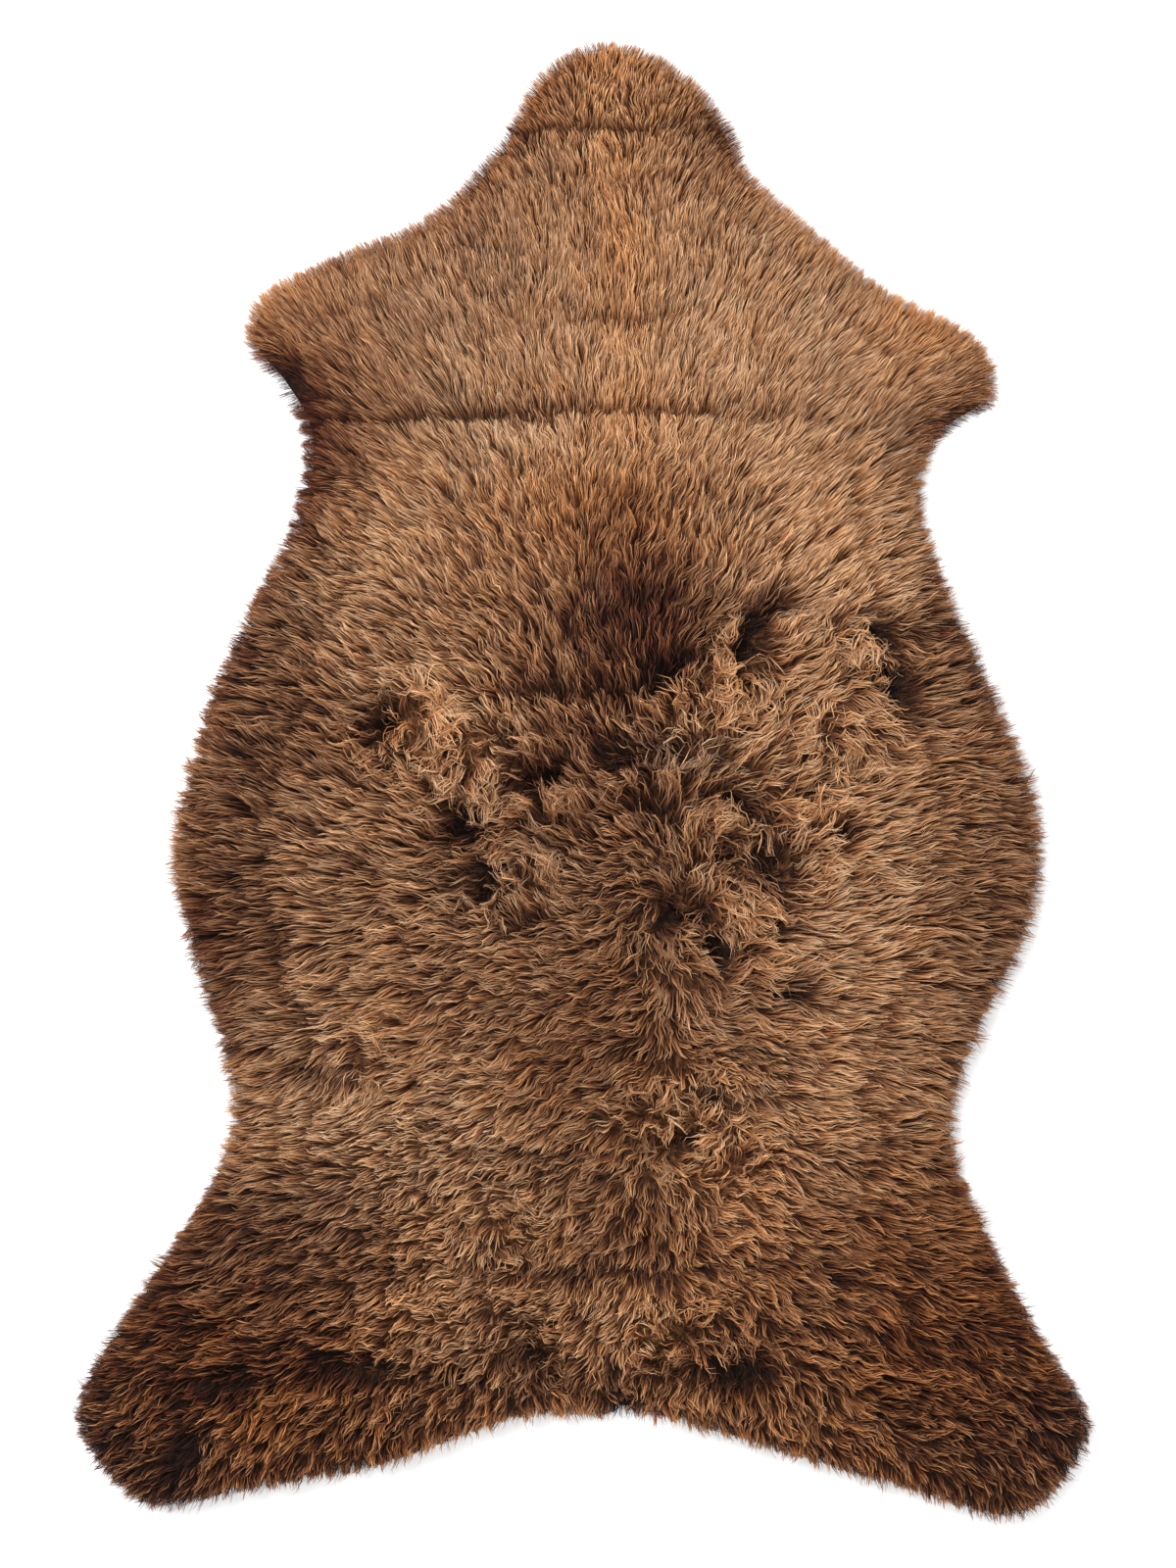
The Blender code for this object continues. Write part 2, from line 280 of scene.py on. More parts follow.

# Dark partings where the roots show, with painted shade in the hollow, and the folds the pelt was packed
# in, with painted crease shade.
partingRows = [
    # place, across, along, halfWidth, halfLength, heading, dark
    ("left ribs", -128, 42, 6, 12, 90, 0.90),
    ("left ribs low", -110, 12, 5, 14, -25, 0.65),
    ("left belly", -74, -26, 10, 11, 0, 0.75),
    ("left belly low", -57, -59, 8, 14, 45, 0.85),
    ("middle", -21, 5, 5, 15, 10, 1.0),
    ("middle low", -32, -94, 3, 16, 0, 0.6),
    ("right withers", 108, 98, 6.5, 16, 72, 1.0),
    ("right withers high", 126, 117, 5, 9, 40, 0.8),
    ("left of withers", 56, 71, 7, 17, 35, 0.95),
    ("right ribs high", 193, 104, 5.5, 13, -50, 0.8),
    ("right ribs", 206, 65, 6, 17, -80, 0.95),
    ("beside the swirl", 33, 18, 6, 11, -20, 0.8),
    ("swirl", 58, 20, 7, 12, 0, 0.6),
    ("right belly left", 49, -23, 5, 13, -50, 0.7),
    ("right belly", 101, -13, 7, 14, -25, 1.0),
    ("right belly low", 121, -50, 6, 20, -80, 1.0),
    ("under the curls", 96, -46, 5, 11, 0, 0.8),
    ("end of the sweep", 171, -34, 4, 8, 70, 0.7),
    ("right loin", 68, -87, 6, 14, -10, 0.95),
    ("right loin low", 88, -108, 8, 12, 50, 0.95),
    ("right loin far", 122, -93, 4, 16, 22, 0.7),
    ("right flank", 134, -138, 6, 14, 10, 0.5),
    ("left hip", -175, -182, 4, 18, 0, 0.40),
    ("right waist", 86, -208, 7, 9, 0, 0.45),
    ("right rump", 68, -236, 5, 12, -10, 0.5),
    ("left seat", -32, -376, 7, 9, 0, 0.5),
    ("tail", 26, -408, 8, 10, 0, 0.8),
    ("left foreleg", -192, 272, 9, 20, -40, 0.8),
    ("right foreleg", 252, 250, 6, 26, 20, 0.55),
    ("nape right", 84, 438, 9, 16, -50, 0.25),
    ("nape left", -60, 430, 9, 16, 50, 0.25),
    ("spine", 18, 124, 24, 34, 90, 0.14),
    ("right seat", 103, -385, 9, 15, 0, 0.95),
    ("seat", -44, -352, 3, 20, -35, 0.5),
    ("left thigh", -150, -382, 6, 45, -8, 0.6),
    ("left thigh far", -230, -394, 6, 28, 8, 0.55),
    ("left foot", -262, -440, 8, 26, 60, 0.7),
    ("right foot", 322, -430, 10, 26, -50, 0.15),
]
foldRows = [
    # place, leftEnd, rightEnd, along, halfWidth, dark
    ("nape", -50, 60, 439, 3.5, 0.30),
    ("withers", 2, 56, 309, 2.0, 0.25),
    ("shoulders left", -170, -20, 242, 5.0, 0.34),
    ("shoulders", -60, 80, 246, 2.5, 0.26),
    ("shoulders right", 70, 150, 243, 4.0, 0.12),
    ("back", -60, 48, 56, 4.0, 0.50),
    ("loin right", 36, 126, -176, 2.5, 0.75),
    ("loin left", -145, -80, -224, 3.0, 0.60),
    ("loin", -66, 6, -240, 4.5, 0.70),
    ("loin low", -65, 28, -258, 2.5, 0.50),
    ("rump", -150, 130, -318, 7.0, 0.45),
    ("seat", -110, 120, -392, 5.0, 0.35),
]

# Where the wool lies short and close, from 0 to 1.
closeRows = [
    # place, across, along, halfAcross, halfAlong, close
    ("middle of the loin", -25, -140, 80, 55, 0.90),
    ("left of the waist", -110, -225, 55, 40, 0.50),
    ("waist", 20, -215, 60, 40, 0.50),
    ("rump", 0, -285, 130, 45, 0.80),
    ("smooth seat", -88, -366, 34, 20, 0.80),
    ("withers", 20, 150, 60, 50, 0.40),
]

# Where the brown turns warmer (above 0) or greyer (below 0), and lighter or darker.
castRows = [
    # place, across, along, halfAcross, halfAlong, warmer, lighter
    ("nape", 0, 470, 100, 60, 0.28, 0.03),
    ("nape left side", -92, 430, 34, 34, 0.10, -0.40),
    ("nape right side", 100, 425, 40, 40, 0.10, -0.06),
    ("spine of the neck", 26, 330, 22, 110, 0.35, 0.04),
    ("neck", 0, 330, 260, 90, 0.10, -0.05),
    ("left foreleg", -222, 330, 55, 55, 0.25, 0.20),
    ("left shoulder", -85, 310, 60, 60, -0.15, 0),
    ("right shoulder", 150, 305, 90, 50, -0.15, 0.08),
    ("right foreleg", 225, 300, 50, 35, 0.35, 0.16),
    ("left chest edge", -180, 232, 58, 60, 0.35, -0.28),
    ("left chest", -25, 232, 30, 24, 0, 0.08),
    ("left chest", -30, 225, 50, 22, -0.20, 0),
    ("spine of the chest", 30, 215, 30, 30, 0.15, 0.04),
    ("dark withers", 32, 180, 62, 15, 0.20, -0.16),
    ("left of the withers", -32, 170, 34, 36, 0.10, 0.12),
    ("spine of the back", 8, 164, 55, 50, 0.45, 0.08),
    ("right shoulder blade", 172, 155, 50, 60, -0.05, 0.34),
    ("right of the spine", 54, 112, 38, 50, 0.15, -0.40),
    ("right ribs rim", 245, 100, 35, 50, 0.05, -0.12),
    ("back of the ribs", 30, 60, 60, 50, 0.15, 0),
    ("golden curls", -90, 36, 36, 34, 0.05, 0.34),
    ("curls", 102, 36, 32, 32, 0, 0.10),
    ("left ribs", -172, 30, 45, 45, 0.10, -0.46),
    ("left ribs rim", -300, 30, 60, 150, 0.30, 0),
    ("grey swirl", 64, 14, 20, 16, -0.80, 0),
    ("middle of the back", 0, -10, 90, 110, 0.15, 0),
    ("left belly", -160, -30, 32, 32, 0, 0.08),
    ("left rim", -280, -40, 28, 100, 0.10, 0.32),
    ("right flank edge", 250, -60, 45, 130, 0.05, -0.22),
    ("left of the spine", -30, -60, 50, 60, -0.20, 0),
    ("right flank", 165, -80, 45, 40, -0.10, 0.10),
    ("left flank edge", -205, -95, 75, 60, 0.05, -0.30),
    ("loin spine", 25, -150, 60, 60, 0.18, 0),
    ("right flank low", 165, -162, 35, 30, 0, -0.08),
    ("right loin", 102, -162, 35, 35, 0, -0.08),
    ("lower back", 30, -190, 70, 50, 0.15, 0),
    ("left waist", -130, -225, 70, 34, -0.20, 0.18),
    ("right waist", 120, -225, 70, 30, -0.15, 0),
    ("left waist edge", -225, -226, 45, 34, 0, 0.18),
    ("right hip", 180, -245, 45, 50, 0.05, -0.12),
    ("left of the tail", -30, -260, 50, 60, -0.05, 0.12),
    ("tail root", 42, -290, 35, 30, 0.05, -0.24),
    ("right rump", 60, -290, 70, 50, 0.25, 0),
    ("left of the seat", -96, -344, 45, 55, 0, 0.38),
    ("tail", 40, -354, 36, 30, 0, 0.40),
    ("right haunch", 230, -360, 120, 100, 0.70, -0.08),
    ("right of the tail", 110, -365, 40, 30, 0.05, -0.10),
    ("smooth seat", -88, -366, 32, 18, -0.30, 0.14),
    ("left haunch", -220, -385, 110, 60, 0.78, 0.02),
    ("left foot", -220, -430, 60, 30, 0.05, 0.10),
    ("right foot", 270, -430, 60, 40, 0, -0.09),
    ("haunches", 0, -440, 420, 90, 0.15, 0),
]

# What each kind of place does to the wool at its middle. Most are shares that a value loses.
closeWool = {"length": 0.32, "rise": 0.35, "ridge": 0.40, "thick": 0.15}
whorl = {"turn": 2.2, "curl": 0.8, "stray": 5}
patch = {"turn": 2.5, "warm": 0.05, "rise": 0.3, "curl": 1.3, "swirl": 0.6}
parting = {
    "ragged": 5 * mm,           # how far its edges wander
    "push": 1.5,                # how strongly it turns the wool away
    # tone and warm: wool in a parting turns darker and greyer, partly its dark roots and partly painted
    # shade in the hollow
    "tone": -0.6, "warm": 0.4, "rise": 0.4, "thinned": 0.6,
    "depth": 6 * mm,
}
fold = {
    "wander": 5 * mm,
    "ends": 8 * mm,             # it fades out over this distance
    # the tone that painted crease shade darkens the wool towards
    "tone": -0.25,
    "depth": 4 * mm,
    "shortest": 10 * mm,        # of the wool beside it
}
rim = {
    "lay": 0.75, "length": 0.28, "rise": 0.55, "curl": 0.5, "tone": 0.12, "warm": 0.55,
    "gather": 0.7, "vary": 0.15, "thick": 0.40,
    "denseWithin": 20 * mm,     # strands stand closer within this distance of the edge
}

wool = {
    "tuftGap": 15 * mm,         # spacing of the broad tufts that the locks lean into
    "tuftPull": 0.35,           # of the way to a tuft's middle, where wool gathers fully
    "warp": 4.0 * mm,           # how far the crimp pushes a curly strand to its side
    "crimpSize": 9 * mm,
    "ridgeWidth": 3.2 * mm,     # of the ridges that the wool forms down its lay
    "ridgeLength": 28 * mm,
    "floorGap": 0.9 * mm,
    "curlyFrom": 0.45,          # curl past which a strand needs more joints
    "ringletFrom": 1.3,
    "rimDensity": 1.9,          # how much closer strands stand along the rim
    "seed": 11,
    "seam": (30 * mm, 8 * mm),  # size and reach of the wander of the seams between regions
    "mostTufts": 4e4,           # for each square metre, before the gaps thin them out
    "mostLocks": 2e5,
}

levels = np.linspace(spots[:, 1].min() + 1e-4, spots[:, 1].max() - 1e-4, 240)
leftMost, rightMost = [], []
for level in levels:
    a, b = groundEdge, np.roll(groundEdge, -1, axis=0)
    spans = (a[:, 1] > level) != (b[:, 1] > level)
    cut = a[spans, 0] + (level - a[spans, 1]) / (b[spans, 1] - a[spans, 1]) * (b[spans, 0] - a[spans, 0])
    leftMost.append(cut.min())
    rightMost.append(cut.max())
spine = pelt["spineAcross"]
halfLeft = spine - np.interp(spots[:, 1], levels, leftMost)
halfRight = np.interp(spots[:, 1], levels, rightMost) - spine
share = np.where(spots[:, 0] < spine, (spots[:, 0] - spine) / np.maximum(halfLeft, 1e-3),
                 (spots[:, 0] - spine) / np.maximum(halfRight, 1e-3))


def acrossTable(rows, shares, place, turnInto=lambda v: v):
    stations = [row[1] * mm for row in reversed(rows)]
    columns = [np.interp(spots[:, 1], stations, [turnInto(row[2 + c]) for row in reversed(rows)])
               for c in range(len(shares))]
    columns = np.stack(columns, axis=1)
    place = np.clip(np.interp(place, shares, range(len(shares))), 0, len(shares) - 1.001)
    low = place.astype(int)
    part = place - low
    part = part * part * (3 - 2 * part)
    pick = np.arange(len(spots))
    return columns[pick, low] * (1 - part) + columns[pick, low + 1] * part


def alongTable(column):
    stations = [row[1] * mm for row in reversed(woolRows)]
    return np.interp(spots[:, 1], stations, [row[column] for row in reversed(woolRows)])


def grain(size, salt, depth=3):
    return np.array([noise.fractal(Vector((x / size, y / size, salt)), 0.9, 2.0, depth) for x, y in spots])


def grainPair(size, salts, depth=3):
    return np.stack([grain(size, salt, depth) for salt in salts], axis=1)


def heading(degrees):
    return np.array([math.cos(math.radians(degrees)), math.sin(math.radians(degrees))])


def nearPlace(across, along, halfAcross, halfAlong):
    # 1 at the place, and fading out past its half widths
    offset = (spots - np.array([across, along]) * mm) / (np.array([halfAcross, halfAlong]) * mm)
    return np.exp(-(offset ** 2).sum(axis=1))


lay = np.stack([acrossTable(layRows, columnShares, share, lambda d, axis=axis: heading(d)[axis])
                for axis in (0, 1)], axis=1)
lay /= np.linalg.norm(lay, axis=1, keepdims=True) ** 0.7  # stays short where the wool parts
onFlank = np.interp(np.abs(share), [0.4, 0.75], [0, 1])
length = alongTable(2) * mm
rise = alongTable(3) * mm
curl = alongTable(4) * np.interp(np.abs(share), [0.3, 0.6], [1.0, 0.62])
stray = np.radians(alongTable(5))
gather = alongTable(6)
tone = acrossTable(toneRows, toneShares, np.abs(share)) + 0.08 * np.tanh(3 * share)
rootShade = alongTable(7)
vary = alongTable(8)
swirl = np.clip(2.2 * grain(0.020, 61.0, 2), -1, 1)
ridgeSize = np.interp(spots[:, 1], [-0.3, 0.13, 0.24], [1.0, 1.05, 0.36]) * (1 - 0.22 * onFlank)
thick = alongTable(9) * mm * (1 - 0.10 * onFlank)
warm = np.full(len(spots), 0.44)

for _, across, along, halfAcross, halfAlong, close in closeRows:
    near = close * nearPlace(across, along, halfAcross, halfAlong)
    length *= 1 - closeWool["length"] * near
    rise *= 1 - closeWool["rise"] * near
    ridgeSize *= 1 - closeWool["ridge"] * near
    thick *= 1 - closeWool["thick"] * near
for _, across, along, radius, spin, wild in whorlRows:
    offset = spots - np.array([across, along]) * mm
    far = np.linalg.norm(offset, axis=1) / (radius * mm)
    near = np.exp(-far ** 2)
    around = np.stack([-offset[:, 1], offset[:, 0]], axis=1)
    around /= np.maximum(np.linalg.norm(around, axis=1, keepdims=True), 1e-6)
    lay += around * (spin * whorl["turn"] * near * np.minimum(far * 1.6, 1))[:, None]
    curl += whorl["curl"] * wild * near
    stray += np.radians(whorl["stray"]) * near
for _, across, along, radius, towards, light, wild in patchRows:
    near = nearPlace(across, along, radius, radius)
    lay += near[:, None] * patch["turn"] * heading(towards)
    # lighter curls: partly their own golden colour, partly a painted highlight
    tone += light * near
    warm += patch["warm"] * near
    rise *= 1 + patch["rise"] * min(wild, 1) * near
    curl += patch["curl"] * wild * near
    swirl += np.sign(swirl) * patch["swirl"] * wild * near
ragged = grainPair(0.011, (70.0, 74.0), 2) * parting["ragged"]


def fromParting(row, places):
    # how far down a parting and how far off it, counted in its half length and half width
    _, across, along, halfWidth, halfLength, towards, _ = row
    down = heading(towards)
    off = np.array([-down[1], down[0]])
    offset = places + ragged - np.array([across, along]) * mm
    return offset @ down / (halfLength * mm), offset @ off / (halfWidth * mm), off


for row in partingRows:
    down, off, away = fromParting(row, spots)
    near = np.exp(-(down ** 2 + (off / 1.5) ** 2))
    lay += (parting["push"] * row[6] * off * near)[:, None] * away
firm = np.clip(np.linalg.norm(lay, axis=1), 0, 1)  # wool stands up and curls where the lay parts
curl += 0.7 * (1 - firm)
unrest = 0.12 + 0.25 * curl + 1.2 * (1 - firm)
lay += grainPair(0.030, (40.0, 50.0)) * unrest[:, None]
length *= 0.5 + 0.5 * firm
rise *= 1.45 - 0.45 * firm
turnBy = grain(0.055, 3.0) * np.radians(20) * (0.35 + curl) + grain(0.02, 9.0) * np.radians(22) * curl
turned = np.stack([lay[:, 0] * np.cos(turnBy) - lay[:, 1] * np.sin(turnBy),
                   lay[:, 0] * np.sin(turnBy) + lay[:, 1] * np.cos(turnBy)], axis=1)
turned /= np.maximum(np.linalg.norm(turned, axis=1, keepdims=True), 1e-3)
atRim = np.clip(1 - rimGap / pelt["rimTurn"], 0, 1) ** 1.5
outward = (rim["lay"] * atRim)[:, None]
lay = turned * (1 - outward) + rimFacing * outward
lay /= np.maximum(np.linalg.norm(lay, axis=1, keepdims=True), 1e-3)
for values, name in ((length, "length"), (rise, "rise"), (curl, "curl"), (tone, "tone"),
                     (vary, "vary"), (thick, "thick")):
    values *= 1 - rim[name] * atRim
warm += rim["warm"] * atRim

partingRootsAndShade = np.zeros(len(spots))
allowed = np.ones(len(spots))
for row in partingRows:
    down, off, _ = fromParting(row, spots)
    near = np.minimum(1.3 * row[6] * np.exp(-(down ** 2 + off ** 2)), 1)
    partingRootsAndShade = np.maximum(partingRootsAndShade, near)
    for part in (0.95, 0.75, 0.55, 0.35):  # wool that would reach over a parting is shorter
        down, off, _ = fromParting(row, spots + lay * length[:, None] * part)
        inIt = np.clip(2.2 * row[6] * np.exp(-(down ** 2 + off ** 2)) - 0.5, 0, 1)
        allowed = np.minimum(allowed, 1 - (1 - part) * inIt)
# painted shade: wool in a parting darkens towards a tone below 0 and turns greyer, besides its dark roots
# showing
tone -= (tone - parting["tone"]) * partingRootsAndShade
warm -= parting["warm"] * partingRootsAndShade
fleeceTop -= parting["depth"] * partingRootsAndShade
rise *= 1 - parting["rise"] * partingRootsAndShade
length *= allowed
for _, left, right, along, halfWidth, dark in foldRows:
    wander = along * mm + grain(0.06, along) * fold["wander"]
    past = np.maximum(np.maximum(left * mm - spots[:, 0], spots[:, 0] - right * mm), 0)
    within = np.exp(-(past / fold["ends"]) ** 2)
    before = wander - spots[:, 1]
    near = dark * within * np.exp(-(before / (halfWidth * mm)) ** 2)
    # painted crease shade: the wool darkens along the fold
    tone -= near * (tone - fold["tone"])
    fleeceTop -= fold["depth"] * near
    # wool that would reach over the fold ends at it
    ahead = before / np.where(np.abs(lay[:, 1]) > 0.5, lay[:, 1], 9.0)
    crossing = within * (ahead > 0) * (ahead < length)
    length += crossing * dark * (np.maximum(ahead, fold["shortest"]) - length)
for _, across, along, halfAcross, halfAlong, warmer, lighter in castRows:
    near = nearPlace(across, along, halfAcross, halfAlong)
    warm += warmer * near
    tone += lighter * near
warm = np.clip(warm + 0.20 * grain(0.045, 31.0) + 0.12 * grain(0.012, 33.0), 0, 1.4)
tone = np.clip(tone + 0.10 * grain(0.035, 21.0) + 0.10 * grain(0.012, 27.0), -0.8, 1.1)
gather *= (1 - rim["gather"] * atRim) * (1 + 0.8 * np.clip(curl - 1.0, 0, 1))  # curls bundle up
closer = np.clip(1 - rimGap / rim["denseWithin"], 0, 1)
dense = (1 + (wool["rimDensity"] - 1) * closer) / wool["rimDensity"]
dense *= 1 - parting["thinned"] * partingRootsAndShade
# the under-wool stays below the fleece's top by the height that the strands rise
groundHeight = np.maximum(fleeceTop - rise * 0.95, pelt["groundRim"] + 0.25 * rimGap)
groundHeight = np.minimum(groundHeight, np.maximum(fleeceTop - 1 * mm, pelt["groundRim"]))
groundHeight[:ringCount] = pelt["groundRim"]
print("wool laid out")


class Wiring:
    # short names for the nodes of a material or of the wool's tree
    def __init__(self, group):
        self.group = group

    def node(self, kind, inputs=None, **settings):
        made = self.group.nodes.new(kind)
        for key, value in settings.items():
            setattr(made, key, value)
        for key, value in (inputs or {}).items():
            self.feed(made.inputs[key], value)
        return made

    def feed(self, socket, value):
        if isinstance(value, bpy.types.NodeSocket):
            self.group.links.new(value, socket)
        else:
            socket.default_value = value

    def sums(self, operation, *values, clamp=False):
        return self.node("ShaderNodeMath", dict(enumerate(values)), operation=operation,
                         use_clamp=clamp).outputs[0]

    def plus(self, a, b):
        return self.sums("ADD", a, b)

    def minus(self, a, b):
        return self.sums("SUBTRACT", a, b)

    def times(self, a, b):
        return self.sums("MULTIPLY", a, b)

    def timesPlus(self, a, b, c):
        return self.sums("MULTIPLY_ADD", a, b, c)

    def vector(self, operation, *values):
        made = self.node("ShaderNodeVectorMath", dict(enumerate(values)), operation=operation)
        return made.outputs["Value" if operation == "DOT_PRODUCT" else "Vector"]

    def scaled(self, way, by):
        return self.node("ShaderNodeVectorMath", {0: way, "Scale": by}, operation="SCALE").outputs["Vector"]

    def moved(self, place, way, by):
        return self.vector("ADD", place, self.scaled(way, by))

    def spotty(self, place, scale, detail, output=0):
        return self.node("ShaderNodeTexNoise", {
            "Vector": place, "Scale": scale, "Detail": detail}).outputs[output]

    # for materials
    def attribute(self, name, output="Fac"):
        return self.node("ShaderNodeAttribute", attribute_name=name).outputs[output]

    def mixed(self, factor, a, b, blend="MIX"):
        return self.node("ShaderNodeMix", {0: factor, 6: a, 7: b}, data_type="RGBA",
                         blend_type=blend).outputs[2]

    def ramp(self, factor, stops):
        made = self.node("ShaderNodeValToRGB", {0: factor})
        while len(made.color_ramp.elements) < len(stops):
            made.color_ramp.elements.new(0.5)
        for element, (place, colour) in zip(made.color_ramp.elements, stops):
            element.position = place
            element.color = linear(colour) if isinstance(colour, str) else colour
        return made.outputs[0]

    # for the wool's tree
    def named(self, name, kind="FLOAT"):
        return self.node("GeometryNodeInputNamedAttribute", {"Name": name}, data_type=kind).outputs[0]

    def store(self, geometry, values, kind="FLOAT"):
        for name, value in values.items():
            geometry = self.node("GeometryNodeStoreNamedAttribute", {
                "Geometry": geometry, "Name": name, "Value": value}, data_type=kind,
                domain="POINT").outputs[0]
        return geometry

    def chance(self, low, high, seed):
        return self.node("FunctionNodeRandomValue", {2: low, 3: high, 8: seed},
                         data_type="FLOAT").outputs[1]


# materials
def material(name, inputs):
    made = bpy.data.materials.new(name)
    made.use_nodes = True
    shader = made.node_tree.nodes["Principled BSDF"]
    for key, value in inputs.items():
        shader.inputs[key].default_value = value
    return made, Wiring(made.node_tree), shader


def paint(w, shader, colour, height, strength, distance):
    bump = w.node("ShaderNodeBump", {"Strength": strength, "Distance": distance, "Height": height})
    w.feed(shader.inputs["Base Color"], colour)
    w.feed(shader.inputs["Normal"], bump.outputs[0])


woolLook = {
    # each strand runs from its dark root to its bleached tip; the dark low on a strand is partly painted
    # shade low in the fleece
    "light": ((0.05, "#1b0e09"), (0.35, "#683f27"), (0.62, "#a97a52"), (0.92, "#e0b88f")),
    "dark": ((0.05, "#070303"), (0.40, "#1a0b06"), (0.70, "#3d1d11"), (0.95, "#6e3a22")),
    # near black, painted shade for tones below 0 in partings and folds
    "deep": [0.012, 0.008, 0.008, 1],
    "grey": [0.93, 1.03, 1.16, 1],
    "warm": [1.20, 0.87, 0.53, 1],
    "warmth": 0.7,
    "streak": ((0.3, [0.80, 0.79, 0.78, 1]), (0.7, [1.17, 1.17, 1.17, 1])),
    "fibreScale": 2.2,
    "bump": (0.25, 0.4 * mm),
    "surface": {"Roughness": 0.7, "Specular IOR Level": 0.12},
}


def woolMaterial():
    made, w, shader = material("brownWool", woolLook["surface"])
    alongStrand, toneHere = w.attribute("alongStrand"), w.attribute("tone")
    dark, light = (w.ramp(alongStrand, woolLook[name]) for name in ("dark", "light"))
    colour = w.mixed(toneHere, dark, light)
    # tones below 0, from partings and folds, fall into the near-black painted shade
    colour = w.mixed(w.sums("ADD", toneHere, 1.0, clamp=True), woolLook["deep"], colour)
    warmth = w.times(w.attribute("warm"), woolLook["warmth"])
    colour = w.mixed(1.0, colour, w.mixed(warmth, woolLook["grey"], woolLook["warm"]), "MULTIPLY")
    fibre = w.spotty(w.attribute("fibre", "Vector"), woolLook["fibreScale"], 2.0)
    colour = w.mixed(1.0, colour, w.ramp(fibre, woolLook["streak"]), "MULTIPLY")
    paint(w, shader, colour, fibre, *woolLook["bump"])
    return made


underLook = {
    "dark": ((0.35, "#120b08"), (0.55, "#24150d"), (0.75, "#3a2315")),
    "light": ((0.35, "#4a2e1c"), (0.55, "#6e482c"), (0.75, "#8f623f")),
    "tuftScale": 260.0,
    "bump": (0.8, 2 * mm),
    "surface": {"Roughness": 0.9, "Specular IOR Level": 0.05},
}


def underWoolMaterial():
    made, w, shader = material("mattedUnderWool", underLook["surface"])
    place = w.node("ShaderNodeTexCoord").outputs["Object"]
    tuft = w.spotty(place, underLook["tuftScale"], 6.0)
    dark, light = (w.ramp(tuft, underLook[name]) for name in ("dark", "light"))
    colour = w.mixed(w.attribute("tone"), dark, light)
    paint(w, shader, colour, tuft, *underLook["bump"])
    return made


skinLook = {
    "base": ((0.3, "#b08c66"), (0.5, "#c9a984"), (0.7, "#dcc3a2")),
    "fine": ((0.3, [0.85, 0.85, 0.85, 1]), (0.7, [1.08, 1.08, 1.08, 1])),
    "patchScale": 9.0,
    "napScale": 900.0,
    "bump": (0.35, 0.6 * mm),
    "surface": {"Roughness": 0.85, "Sheen Weight": 0.3},
}


def skinMaterial():
    made, w, shader = material("tannedSkin", skinLook["surface"])
    place = w.node("ShaderNodeTexCoord").outputs["Object"]
    nap = w.spotty(place, skinLook["napScale"], 4.0)
    base = w.ramp(w.spotty(place, skinLook["patchScale"], 5.0), skinLook["base"])
    colour = w.mixed(1.0, base, w.ramp(nap, skinLook["fine"]), "MULTIPLY")
    paint(w, shader, colour, nap, *skinLook["bump"])
    return made


# skin and under-wool
def slab(name, ring, low, high, places=None, faces=None):
    # a closed slab on the ring, flat below, with its own faces on top where they are given
    flat, fill = fillRing(ring)
    if places is None:
        places, faces = np.column_stack([flat, np.full(len(flat), high)]), fill
    count = len(ring)
    verts = [(*p, low) for p in ring] + [tuple(p) for p in places]
    skirt = [(k, (k + 1) % count, count + (k + 1) % count, count + k) for k in range(count)]
    data = bpy.data.meshes.new(name)
    data.from_pydata(verts, [], [tuple(f[::-1]) for f in fill] + skirt + [tuple(f + count) for f in faces])
    data.shade_smooth()
    data.set_sharp_from_angle(angle=math.radians(50))
    return inScene(name, data)


skin = slab("tannedSkin", skinEdge, 0.0, pelt["skinThickness"])
skin.data.materials.append(skinMaterial())
groundPlaces = np.column_stack([spots, groundHeight])
underWool = slab("underWool", groundEdge, pelt["skinThickness"] + 0.2 * mm, None, groundPlaces, triangles)
# the under-wool takes the wool's tone, with the painted shade of partings and folds, and is darkest along
# its bottom edge
shade = np.concatenate([np.zeros(ringCount), tone]).astype(np.float32)
underWool.data.attributes.new("tone", "FLOAT", "POINT").data.foreach_set("value", shade)
underWool.data.materials.append(underWoolMaterial())
print("skin and under-wool built")


# wool
def strandShape(profile):
    # a flat blade of wool as numbers: each point says how far along it is and on which side
    places, alongs = [], []
    for at, wide in profile:
        for beside in (0.5, -0.5):
            places.append((wide * beside, 0, at))
            alongs.append(at)
    places.append((0, 0, 1.0))
    alongs.append(1.0)
    faces = [(2 * k, 2 * k + 1, 2 * k + 3, 2 * k + 2) for k in range(len(profile) - 1)]
    faces.append((len(places) - 3, len(places) - 2, len(places) - 1))
    data = bpy.data.meshes.new("strandShape")
    data.from_pydata(places, [], faces)
    for name, values in (("alongStrand", alongs), ("besideStrand", [p[0] for p in places])):
        data.attributes.new(name, "FLOAT", "POINT").data.foreach_set("value", values)
    data.materials.append(brownWool)
    return inScene("strandShape", data)


